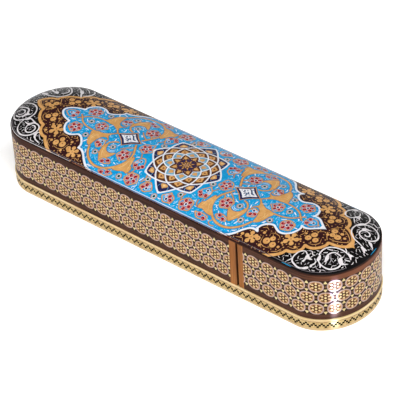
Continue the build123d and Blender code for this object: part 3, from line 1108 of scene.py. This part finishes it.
STYLE = [("navy", "gold"), ("brown", "gold"), ("brown", "gold"), ("mist", "gold"), ("brown", "gold")]
for ring in range(5):
    if ring == 4:
        put(disc(MC, 7.6, 24), "navy")
    for k in range(8):
        mid = k + (0.5 if ring % 2 else 0.0)
        r = RADII[ring:ring + 3]
        cell = np.vstack([piece(ring, mid, 1)[:-1], piece(ring + 1, mid + 0.5, -1)[:-1],
                          piece(ring + 1, mid - 0.5, 1)[::-1][:-1], piece(ring, mid, -1)[::-1][:-1]])
        ground, tone = STYLE[ring]
        put(cell, ground)
        a = mid * math.pi / 4
        out = np.array([math.cos(a), math.sin(a)])
        side = np.array([-out[1], out[0]])
        width = 2 * r[1] * math.sin(math.pi / 8)
        foot = r[2] + 0.18 * (r[0] - r[2])
        length = (r[0] - r[2]) * (0.5 if ring == 0 else 0.56)
        if ring == 0:
            for s in (-1, 1):
                put(ribbon(curve([MC + out * (foot + 0.2) + side * s * 0.6, MC + out * (foot + 1.6) + side * s * 2.9,
                                  MC + out * (foot + 3.4) + side * s * 3.1]), 0.4, (0.6, 0.4)), "sky")
        put(drop(MC + out * foot, a, length, width * (0.33 if ring == 0 else 0.4)), tone)
        for s in (-1, 1):
            put(disc(MC + out * (foot + 0.1 * length) + side * s * width * 0.27, 0.32, 7), tone)
        if ring in (0, 1, 2):
            put(drop(MC + out * (foot + 0.25 * length), a, length * 0.42, width * 0.13), "umber" if ring else "glow")
for k in range(8):
    for w in (1, -1):
        for ring, seg in enumerate(WAYS[(k, w)][:5]):
            put(ribbon(seg, (0.92, 0.85, 0.8, 0.7, 0.6)[ring], (1.0, 1.0 if ring < 4 else 0.6)), "white")
for ring in range(5):
    for k in range(8):
        r = TIP_R[k] - 0.35 if ring == 0 else RADII[ring]
        put(disc(polar(r, k + (0.5 if ring % 2 else 0.0)), 0.72 if ring == 0 else 0.46 if ring < 3 else 0.34, 8), "white")
put(disc(MC, 4.6, 24), "navy")
for k in range(8):
    a = k * math.pi / 4
    put(drop(MC + 1.6 * np.array([math.cos(a), math.sin(a)]), a, 3.4, 1.7), "brown")
    put(drop(MC + 2.5 * np.array([math.cos(a), math.sin(a)]), a, 1.9, 0.8), "gold")
    a = (k + 0.5) * math.pi / 4
    put(drop(MC + 1.0 * np.array([math.cos(a), math.sin(a)]), a, 1.9, 0.85), "gold")
    put(drop(MC + 4.1 * np.array([math.cos(a), math.sin(a)]), a, 2.2, 0.8), "brown")
put(disc(MC, 0.8, 12), "gold")
put(disc(MC, 0.4, 8), "brown")

# ---- gold ornament on the plum field -------------------------------------------
def blossom(c, r, petal, turn=0.0, n=5):
    for k in range(n):
        a = turn + k * 2 * math.pi / n
        q = (c[0] + r * math.cos(a), c[1] + r * math.sin(a))
        put(disc(q, petal, 10), "gold")
        put(ribbon(np.linspace(c, q, 4), petal * 1.1), "gold")
    put(disc(c, petal * 0.28, 6), "umber")


for sx, sy in QUADS:
    def at(x, y):
        return (x * sx, y * sy)
    blossom(at(82, -15.4), 3.0, 1.32, 1.62)
    blossom(at(62.6, -23.9), 2.6, 1.22, 1.9)
    for x, y, r in [(90.6, -6.9, 1.75), (89.1, -10.3, 1.75), (93.3, -9.8, 1.65), (71.4, -22.2, 1.95), (66.3, -22.9, 1.4),
                    (75.7, -22.8, 1.75), (73.6, -19.6, 1.5), (67.3, -18.6, 0.85), (69.6, -25.9, 0.8), (79.2, -22.6, 0.8),
                    (86.2, -13.2, 0.8), (86.4, -8.2, 0.7), (57.2, -24.2, 0.9), (79.4, -19.6, 0.7), (87, -18.6, 0.75)]:
        put(disc(at(x, y), r, 12), "gold")
        if r > 1.3:
            put(disc(at(x + 0.2, y + 0.25), r * 0.22, 6), "umber")
    for pts, w in [([(70.2, -17.4), (72.8, -16.4), (75.6, -16.9), (77.2, -18.4)], 0.42),
                   ([(64.6, -16.4), (66.4, -15.2), (68.4, -16.2)], 0.4), ([(55, -27.2), (58.6, -26.4), (60, -28)], 0.4),
                   ([(68, -20.4), (69.2, -24.4), (72.4, -25.6), (75.6, -25)], 0.38),
                   ([(84.4, -11.4), (85.4, -8.4), (84.4, -6.2)], 0.4), ([(88, -4.4), (91, -3.6), (93.4, -2)], 0.42),
                   ([(95.4, -7.4), (96.4, -10.4), (94.4, -12.8), (91.4, -13.2)], 0.4),
                   ([(84.4, -20.2), (87.2, -19.6), (88.8, -17)], 0.4), ([(77.4, -26.4), (80.4, -24.8), (81.4, -22.4)], 0.4)]:
        c = curve([at(*q) for q in pts])
        put(ribbon(c, w, (0.4, 0.4), 1.0), "gold")
for sx in (1, -1):
    for x, y, r in [(97.3, 1.3, 1.75), (98.2, -1.8, 1.5), (101.2, -1.6, 1.85), (101.6, 1.9, 1.0), (96, -3, 0.9), (104.4, 0.2, 0.8)]:
        put(disc((x * sx, y), r, 12), "gold")
        if r > 1.3:
            put(disc((x * sx + 0.2, y), r * 0.22, 6), "umber")
    for s in (1, -1):
        put(ribbon(curve([(98.4 * sx, -5 * s), (102 * sx, -4.6 * s), (105.4 * sx, -2.6 * s), (107.6 * sx, -0.4 * s)]), 0.4), "gold")
        put(ribbon(curve([(94.8 * sx, -1.4 * s), (96.6 * sx, -4.4 * s), (98.2 * sx, -6.4 * s)]), 0.42), "gold")

# ---- white scrolls on the black ground -------------------------------------------
NEAR_RIGHT = [
    ([(114.6, -8.4), (113.5, -7.5), (111.6, -6.8), (109.4, -6.7), (107.6, -6.9), (105.4, -7.6), (103.5, -8.7), (101.9, -10),
      (101, -11.4), (100.5, -13.3), (100.5, -15.1), (100.9, -16.8)], 0.8),
    ([(102.6, -19.5), (103.8, -20.3), (105.4, -20.75), (107.2, -20.8), (109.1, -20.4), (110.7, -19.3), (111.8, -17.9),
      (112.5, -16.4), (112.7, -14.8), (112.4, -13.9)], 0.75),
    ([(112.3, -10.6), (113.5, -10.1), (114.8, -9.3)], 0.6),
    ([(110, -10.3), (107.9, -10.3), (106.3, -10.6), (105.2, -11.7), (104.7, -13), (104.4, -14.2), (105, -15.5),
      (105.5, -16.4), (105.6, -17.6), (105.2, -18.2)], 0.75),
    ([(101.9, -11.1), (103.5, -10.75), (104.75, -10)], 0.55), ([(101.9, -14.2), (103.5, -12.9)], 0.6),
    ([(108.5, -4.8), (109.75, -5.6), (110.7, -6.5)], 0.6),
    ([(95.4, -19.5), (94.4, -18.6), (93.2, -18.25), (91.8, -18.9), (90.7, -20.1), (90.1, -22), (89.9, -23.9), (90.4, -25.4),
      (91.3, -26.4), (92.9, -27), (94.75, -27.6), (96.6, -27.7), (98.2, -27), (99.4, -25.9), (100.5, -25.3)], 0.8),
    ([(101.8, -20.4), (102, -22), (101.3, -23.25), (101, -24.5)], 0.8),
    ([(102.9, -19.8), (104.4, -20.75), (105.4, -21.7), (105.5, -22.3)], 0.7),
    ([(88.5, -27), (89.4, -25.75), (90, -24.8)], 0.6),
    ([(94.9, -17), (96.3, -16.7), (97.25, -17.3), (98.2, -18.25), (99.4, -17.9)], 0.5),
]
NEAR_RIGHT_LEAVES = [
    [(101.2, -16.2), (102.2, -16.9), (103, -18.3), (102.8, -19.8), (101.9, -20), (101.2, -18.8)],
    [(111.3, -9.25), (110.1, -11.1), (109.9, -12.9), (111, -14), (112.6, -14.5), (113.7, -13.4), (115.2, -11.2),
     (113.2, -12.6), (111.9, -11.7), (111, -10.75)],
    [(104.4, -13.5), (105.6, -14.4), (106.3, -16.2), (105.9, -18.4), (105, -17.4), (104.1, -15.4)],
    [(111, -5.1), (111.9, -6.1), (113.2, -5.75), (114.6, -5.6), (113.8, -6.7), (114.75, -8.25), (113.2, -7.3), (111.9, -7)],
    [(95.7, -19), (96.8, -19.5), (97.9, -20.4), (99.75, -20.75), (98.5, -21.5), (96.9, -21.8), (96.6, -23.9),
     (95.4, -24.2), (95.8, -22.6), (95.4, -20.75)],
    [(100.6, -23.4), (101.6, -23.3), (101.9, -24.3), (101.1, -24.9)],
    [(98, -27.2), (99.4, -26.2), (101, -25.4), (100.2, -26.6), (98.8, -27.4)],
]
NEAR_LEFT = [
    ([(-119, -4.2), (-116, -4), (-113.6, -4.1), (-111, -4.4), (-108.7, -5), (-106.7, -5.8), (-105, -6.9), (-103.5, -8.4),
      (-102.5, -10), (-101.9, -11.6), (-101.9, -13.2), (-102.3, -14.8), (-103.1, -16.3), (-105, -18), (-107.5, -19),
      (-109, -19.3), (-110.6, -19), (-112.4, -18.2), (-113.8, -16.9), (-115.2, -15.2), (-116.2, -13.1)], 0.85),
    ([(-118, -8.1), (-116, -8.2), (-113.8, -8.4), (-111.8, -8.6), (-110, -9), (-108.6, -9.7), (-107.5, -10.7),
      (-106.8, -11.9), (-106.6, -13.2), (-107, -14.5), (-107.9, -15.6), (-109.4, -16.5), (-111.2, -16.6), (-113, -15.8)], 0.85),
    ([(-115, -13.2), (-114.8, -12.1), (-114, -11.2), (-113, -10.7), (-111.8, -10.7), (-110.4, -11.1), (-109.4, -12),
      (-109, -13.2), (-109.6, -14.4), (-110.7, -15), (-112.4, -14.6)], 0.7),
    ([(-104.6, -17.6), (-102.6, -16.6), (-101, -16), (-99.4, -16.4), (-97.8, -17), (-96, -17.4)], 0.7),
    ([(-104.4, -17.4), (-104.7, -19), (-105, -20.6), (-104.7, -22.2), (-104.1, -23.8), (-103.1, -25.1), (-101.7, -26.2),
      (-100, -26.9), (-98.4, -27.3), (-96.8, -27.2), (-95.2, -26.7), (-93.8, -25.9), (-92.4, -24.7), (-91.6, -23.1),
      (-91.1, -21.8), (-91.2, -20.4), (-91.7, -19.3), (-92.6, -18.4), (-93.8, -17.9), (-95.2, -17.7), (-96.8, -17.9),
      (-98.2, -18.4)], 0.8),
    ([(-98.8, -19.6), (-99.1, -21), (-98.9, -22.5), (-98.4, -23.6), (-97.4, -24.4), (-96.2, -24.7), (-95, -24.4),
      (-93.9, -23.6), (-93.3, -22.4), (-93.2, -21.2), (-93.8, -20.1), (-95.3, -19.4), (-96.5, -20)], 0.75),
    ([(-91.4, -24.4), (-90.8, -23.4), (-90.2, -22.2), (-89, -21.8)], 0.6),
    ([(-90.3, -25), (-88.6, -26.2), (-87, -26.7), (-84.8, -27.2)], 0.7),
    ([(-91.6, -26.2), (-90.8, -27.6), (-89.4, -28.1), (-88, -27.8)], 0.45),
    ([(-88.4, -22.8), (-87, -24.2), (-85.2, -25.4)], 0.4),
]
NEAR_LEFT_LEAVES = [
    [(-108.2, -11), (-106.8, -11.8), (-105.2, -12.9), (-103.6, -13.3), (-104.8, -14.2), (-106, -14.8), (-107.2, -16.8),
     (-108, -15.4), (-107, -13.4)],
    [(-104.8, -17.4), (-103.6, -16.2), (-101.4, -15.4), (-101.2, -16.6), (-102.4, -17.6), (-103.8, -18)],
    [(-103, -19), (-100.8, -19.2), (-99, -18.9), (-97.4, -17.5), (-96.2, -17.4), (-97, -18.8), (-98.2, -20.4), (-99, -21),
     (-99.8, -20.2), (-101.4, -19.9)],
    [(-91, -23), (-90, -22.4), (-89.6, -23.8), (-89.2, -25), (-88, -26.2), (-89.6, -26), (-90.6, -25)],
]
FAR_SCROLLS = [
    ([(116.6, 0.4), (115, 2.3), (111.8, 3.2), (108.3, 3.7), (105.2, 5.3), (102.9, 8.1), (102, 11.2), (102.2, 14.6),
      (103.8, 17.4), (106.4, 19), (109.6, 19.2), (112.8, 17.6), (114.7, 14.8), (114.9, 11.8), (113.4, 9.2), (111, 7.9),
      (108.6, 8), (106.8, 9.4), (106.3, 11.4), (107.2, 13.2), (109, 14), (110.8, 13.2), (111.3, 11.6), (110.3, 10.4),
      (109.2, 10.9)], 0.82),
    ([(103.6, 17.2), (104, 20.2), (103.2, 23.4), (100.6, 26.2), (97.2, 28), (93.6, 27.8), (91.2, 26)], 0.8),
    ([(95.6, 25.4), (97.2, 23), (97.3, 20.2), (96, 17.8), (93.8, 16.9), (91.4, 18.2), (90, 20.8), (90, 24), (91.2, 26.4)], 0.8),
    ([(104.6, 20.6), (106.8, 22.4), (109, 21.6), (109.6, 23.6)], 0.5),
    ([(96.6, 18.6), (98.4, 16.4), (100, 14.6)], 0.5),
]
FAR_LEAVES = [
    [(105.5, 13), (106.8, 13), (108, 14.6), (109.6, 16.4), (107.8, 15.9), (106, 15.2)],
    [(113.2, 8.2), (114.8, 8.9), (116.2, 7.8), (117.8, 6), (116, 6.6), (114.6, 7.2)],
    [(101.8, 12.8), (103, 14), (104.2, 16.4), (105.6, 18.4), (103.6, 18.4), (102.2, 16.4)],
    [(96.2, 18), (98, 19.4), (100.2, 18.6), (99.2, 20.2), (98.6, 22), (96.8, 21)],
    [(113, 2), (114.6, 3), (116.6, 2.6), (115.6, 1.4), (116.8, 0), (114.9, 0.9)],
    [(90, 25.2), (91.8, 25.4), (93.2, 27), (91.6, 28), (90.4, 27)],
]
FAR_LEFT = [
    ([(-114.8, 7.6), (-111.5, 7.2), (-108, 6.5), (-104.4, 6.9), (-101.2, 8.3), (-99.3, 10.9), (-98.9, 13.9), (-100.2, 16.8),
      (-102.4, 19.1), (-105.2, 21.4), (-107.8, 22.6), (-110.6, 22.2), (-112.4, 20.4)], 0.95),
    ([(-117.6, 15.2), (-115.2, 15.4), (-112.4, 13.8), (-109.9, 12.2), (-107.2, 11.5)], 1.0),
    ([(-104.8, 18.8), (-102.8, 17.4), (-101.6, 15.4), (-102, 13.2), (-103.8, 12)], 0.9),
    ([(-100, 23.6), (-97.4, 21.8), (-95.3, 19.6), (-93.6, 17.4), (-91.8, 15.4)], 0.95),
    ([(-93.4, 28.2), (-91.2, 26), (-90.2, 22.8), (-90.7, 19.6), (-92.4, 17.4)], 0.9),
    ([(-98.4, 27.4), (-95.4, 25.8), (-92.8, 23.4)], 0.5),
    ([(-104.6, 26), (-102, 24.8), (-100, 23.6)], 0.6),
]
FAR_LEFT_LEAVES = [
    [(-116, 8.8), (-113.4, 9.4), (-110.6, 8.4), (-111.4, 7.2), (-114.6, 7.2)],
    [(-98.8, 23), (-96.4, 22.6), (-94.4, 20.4), (-94.2, 18.4), (-96, 19.4), (-97.8, 21)],
    [(-108.6, 13.4), (-106.4, 12.6), (-105, 10.4), (-107.2, 10.6), (-109.6, 11.8)],
]


def scrolls(group, leaves):
    for pts, w in group:
        put(ribbon(curve(pts, 0.6), w, (0.75, 0.9), 0.2), "ivory")
    for leaf in leaves:
        put(loop(leaf, 0.6), "ivory")


scrolls(NEAR_RIGHT, NEAR_RIGHT_LEAVES)
scrolls(NEAR_LEFT, NEAR_LEFT_LEAVES)
scrolls(FAR_SCROLLS, FAR_LEAVES)
scrolls(FAR_LEFT, FAR_LEFT_LEAVES)
for pts in ([(105.4, -12.8), (106.6, -14.5), (107.9, -15.4), (109.4, -15.75)],
            [(102.6, -22.3), (103.8, -23.25), (105.4, -23.6), (107.25, -22.6), (109.1, -22)]):
    put(ribbon(curve(pts), 0.38, (0.6, 0.6), 0.5), "grey")
for x, y in [(96.6, -21.6), (112.2, -12), (105.3, -15.2), (107.2, 14.2), (98.2, 20), (-104, -17.4), (-98.4, -19.6)]:
    put(drop((x, y), 1.0, 0.9, 0.3), "grey")

# ---- small brush strokes that fill the grounds -------------------------------------
BODIES = list(ART)
MEDALLION = disc(MC, 24.3, 32)


def free_of(points, polys, reach):
    """Which points keep their distance from every outline and lie in none of the shapes."""
    ok = np.ones(len(points), bool)
    for p in polys:
        lo, hi = p.min(0) - reach, p.max(0) + reach
        near = np.where(ok & (points > lo).all(1) & (points < hi).all(1))[0]
        if not len(near):
            continue
        q = points[near]
        hit = inside(p, q)
        a, b = p, np.roll(p, -1, 0)
        d = b - a
        t = ((q[:, None, :] - a) * d).sum(2) / np.maximum((d ** 2).sum(1), 1e-12)
        t = np.clip(t, 0, 1)
        dist = np.linalg.norm(q[:, None, :] - (a + t[..., None] * d), axis=2).min(1)
        ok[near[hit | (dist < reach)]] = False
    return ok


def scatter(within, outside, tones, spacing, reach, length, width, avoid, box, seed, dots=0.0):
    """Short curved strokes, and a share of dots, placed evenly in what is left of a ground."""
    r = np.random.default_rng(seed)
    pts = r.uniform((box[0], box[1]), (box[2], box[3]), (14000, 2))
    keep = inside(within, pts)
    if outside is not None:
        keep &= ~inside(outside, pts)
    pts = pts[keep]
    pts = pts[free_of(pts, avoid, reach)]
    chosen = []
    for p in pts:
        if all((p[0] - q[0]) ** 2 + (p[1] - q[1]) ** 2 > spacing ** 2 for q in chosen):
            chosen.append(p)
    for p in chosen:
        a = r.uniform(0, 2 * math.pi)
        L = length * r.uniform(0.6, 1.25)
        bend = r.uniform(-0.5, 0.5)
        t = np.linspace(-0.5, 0.5, 4)
        ln = np.stack([L * t, bend * (0.25 - t ** 2) * L], 1)
        co, si = math.cos(a), math.sin(a)
        ln = ln @ np.array([[co, si], [-si, co]]) + p
        tone = tones[int(r.integers(len(tones)))]
        if r.uniform() < dots:
            put(disc(p, width * r.uniform(0.7, 1.05), 8), tone)
        else:
            put(ribbon(ln, width * r.uniform(0.7, 1.2), (0.4, 0.4), 1.0), tone)


def drawn(*tones):
    return [p for p, t in BODIES if t in tones and len(p) < 400]


on_blue = drawn("gold", "umber", "white", "pink", "navy") + [MEDALLION]
scatter(BLUE, MEDALLION, ("white", "sky"), 3.4, 0.75, 2.6, 0.8, on_blue, (-94, -26.5, 94, 26.5), 9)
on_blue += [p for p, tone in ART[-400:] if tone in ("white", "sky") and len(p) == 8]
scatter(BLUE, MEDALLION, ("white", "sky", "sky", "deep"), 1.15, 0.34, 1.2, 0.38, on_blue, (-94, -27.4, 94, 27.4), 3)
scatter(PLUM, BLUE, ("gold",), 1.62, 0.55, 1.1, 0.4, drawn("gold", "white"), (-112, -29, 112, 29), 4, 0.55)
scatter(panel_edge(1.6), PLUM, ("ivory", "ivory", "grey"), 1.6, 0.62, 1.8, 0.46, drawn("ivory", "gold"), (-118, -28, 118, 28), 5)

# ---- thin lines round the rim --------------------------------------------------------
p = panel_edge(1.05)
first = int(np.argmax(p[:, 1] > 0))
p = np.roll(p, -first, 0)
put(ribbon(p[(p[:, 0] < 113) | (p[:, 1] < -14)], 0.32), "dim_grey")
for y in (-1, 1):
    put(ribbon(np.stack([np.linspace(-58, 58, 40), np.full(40, y * (PANEL_B - 0.28))], 1), 0.42), "umber")
    put(ribbon(np.stack([np.linspace(-47, 47, 40), np.full(40, y * (PANEL_B - 1.0))], 1), 0.36, (0.5, 0.5), 0.7), "white")
    put(ribbon(np.stack([np.linspace(86.5, 92.5, 6), np.full(6, y * (PANEL_B - 0.5))], 1), 0.42, (0.4, 0.4), 1.0), "blue")
a = np.linspace(0.5, 0, 24) * np.pi / 2
end = np.stack([-CX - (PANEL_A - 0.3) * np.sin(a), -(PANEL_B - 0.3) * np.cos(a)], 1)
put(ribbon(np.vstack([end, [(x, -(PANEL_B - 0.3)) for x in np.linspace(-94, -60, 24)]]), 0.3, (0.5, 0.5), 0.9), "ivory")
for a0, a1 in ((0.08, 0.3), (2.9, 3.1)):
    a = np.linspace(a0, a1, 8)
    s = 1 if a0 < 1 else -1
    put(ribbon(np.stack([s * CX + (PANEL_A - 0.5) * np.cos(a), (PANEL_B - 0.5) * np.sin(a)], 1), 0.45, (0.3, 0.3), 1.0), "blue")


def paint_top():
    domain = panel_edge(0.02)
    gx = np.arange(-118, 118.1, 2.4)
    gy = np.arange(-28, 28.1, 2.4)
    grid = np.array([(x + 1.2 * (j % 2), y) for j, y in enumerate(gy) for x in gx])
    grid = grid[inside(panel_edge(0.9), grid)]
    shapes = [s for s in ART[1:]]
    v, f = triangulate([domain] + [s[0] for s in shapes], grid, 1e-3)
    c = v[f].mean(1)
    keep = inside(domain, c)
    f, c = f[keep], c[keep]
    tone = np.array(["black"] * len(f), dtype=object)
    order = np.argsort(c[:, 0])
    xs = c[order, 0]
    for poly, name in shapes:
        lo, hi = poly.min(0), poly.max(0)
        near = order[np.searchsorted(xs, lo[0]):np.searchsorted(xs, hi[0])]
        near = near[(c[near, 1] > lo[1]) & (c[near, 1] < hi[1])]
        if len(near):
            tone[near[inside(poly, c[near])]] = name
    co = np.stack([v[:, 0], v[:, 1], dome_z(v[:, 0], v[:, 1]) + 0.03], 1)
    normals = dome_normal(v[:, 0], v[:, 1])
    for name in sorted(set(tone)):
        pick = f[tone == name]
        p = v[pick]
        left = p[:, :, 0].mean(1) < 0
        scale = 1 / 128.0
        u = (p[:, :, 0] + np.where(left, 124.0, 4.0)[:, None]) * scale
        w = (p[:, :, 1] + np.where(left, 32.0, 96.0)[:, None]) * scale
        build("top_" + name, co, pick, np.stack([u, w], -1).reshape(-1, 2), TOP[name], "case", normals=normals)


LEVEL = 0.82
TOP = {
    "black": paint("paint_black", lin(6, 4, 4), lin(13, 10, 10), lin(22, 18, 17), amount=0.3, rough=0.34, spec=0.06),
    "plum": paint("paint_plum", lin(42, 14, 18), lin(57, 23, 25), lin(26, 8, 11), amount=0.5),
    "blue": paint("paint_turquoise", lin(0, 140, 202), lin(14, 166, 224), lin(100, 196, 234), amount=0.3),
    "deep": paint("paint_deep_blue", lin(0, 84, 150), lin(8, 104, 170)),
    "mist": paint("paint_mist", lin(98, 158, 190), lin(132, 184, 210)),
    "sky": paint("paint_sky", lin(120, 190, 232), lin(160, 212, 242)),
    "white": paint("paint_white", lin(226, 228, 236), lin(242, 242, 246), lin(200, 206, 220), amount=0.3),
    "ivory": paint("paint_ivory", lin(216, 210, 212), lin(236, 232, 234), lin(180, 174, 176), amount=0.35),
    "grey": paint("paint_grey", lin(150, 144, 148), lin(184, 178, 182)),
    "dim_grey": paint("paint_dim_grey", lin(90, 84, 88), lin(120, 114, 118)),
    "gold": paint("paint_gold", lin(209, 153, 87), lin(228, 175, 108), lin(188, 130, 70), amount=0.45, metal=0.05),
    "glow": paint("paint_gold_light", lin(236, 194, 126), lin(246, 212, 150), metal=0.05),
    "umber": paint("paint_umber", lin(112, 62, 44), lin(140, 82, 58)),
    "navy": paint("paint_navy", lin(26, 26, 66), lin(42, 42, 92), lin(20, 20, 48)),
    "brown": paint("paint_brown", lin(78, 44, 24), lin(104, 62, 36), lin(58, 32, 18)),
    "red": paint("paint_red", lin(122, 2, 24), lin(166, 16, 42), lin(90, 0, 18)),
    "pink": paint("paint_pink", lin(226, 160, 152), lin(240, 192, 182), lin(206, 124, 118), amount=0.4),
    "green": paint("paint_green", lin(12, 52, 42), lin(24, 82, 62)),
}
paint_top()
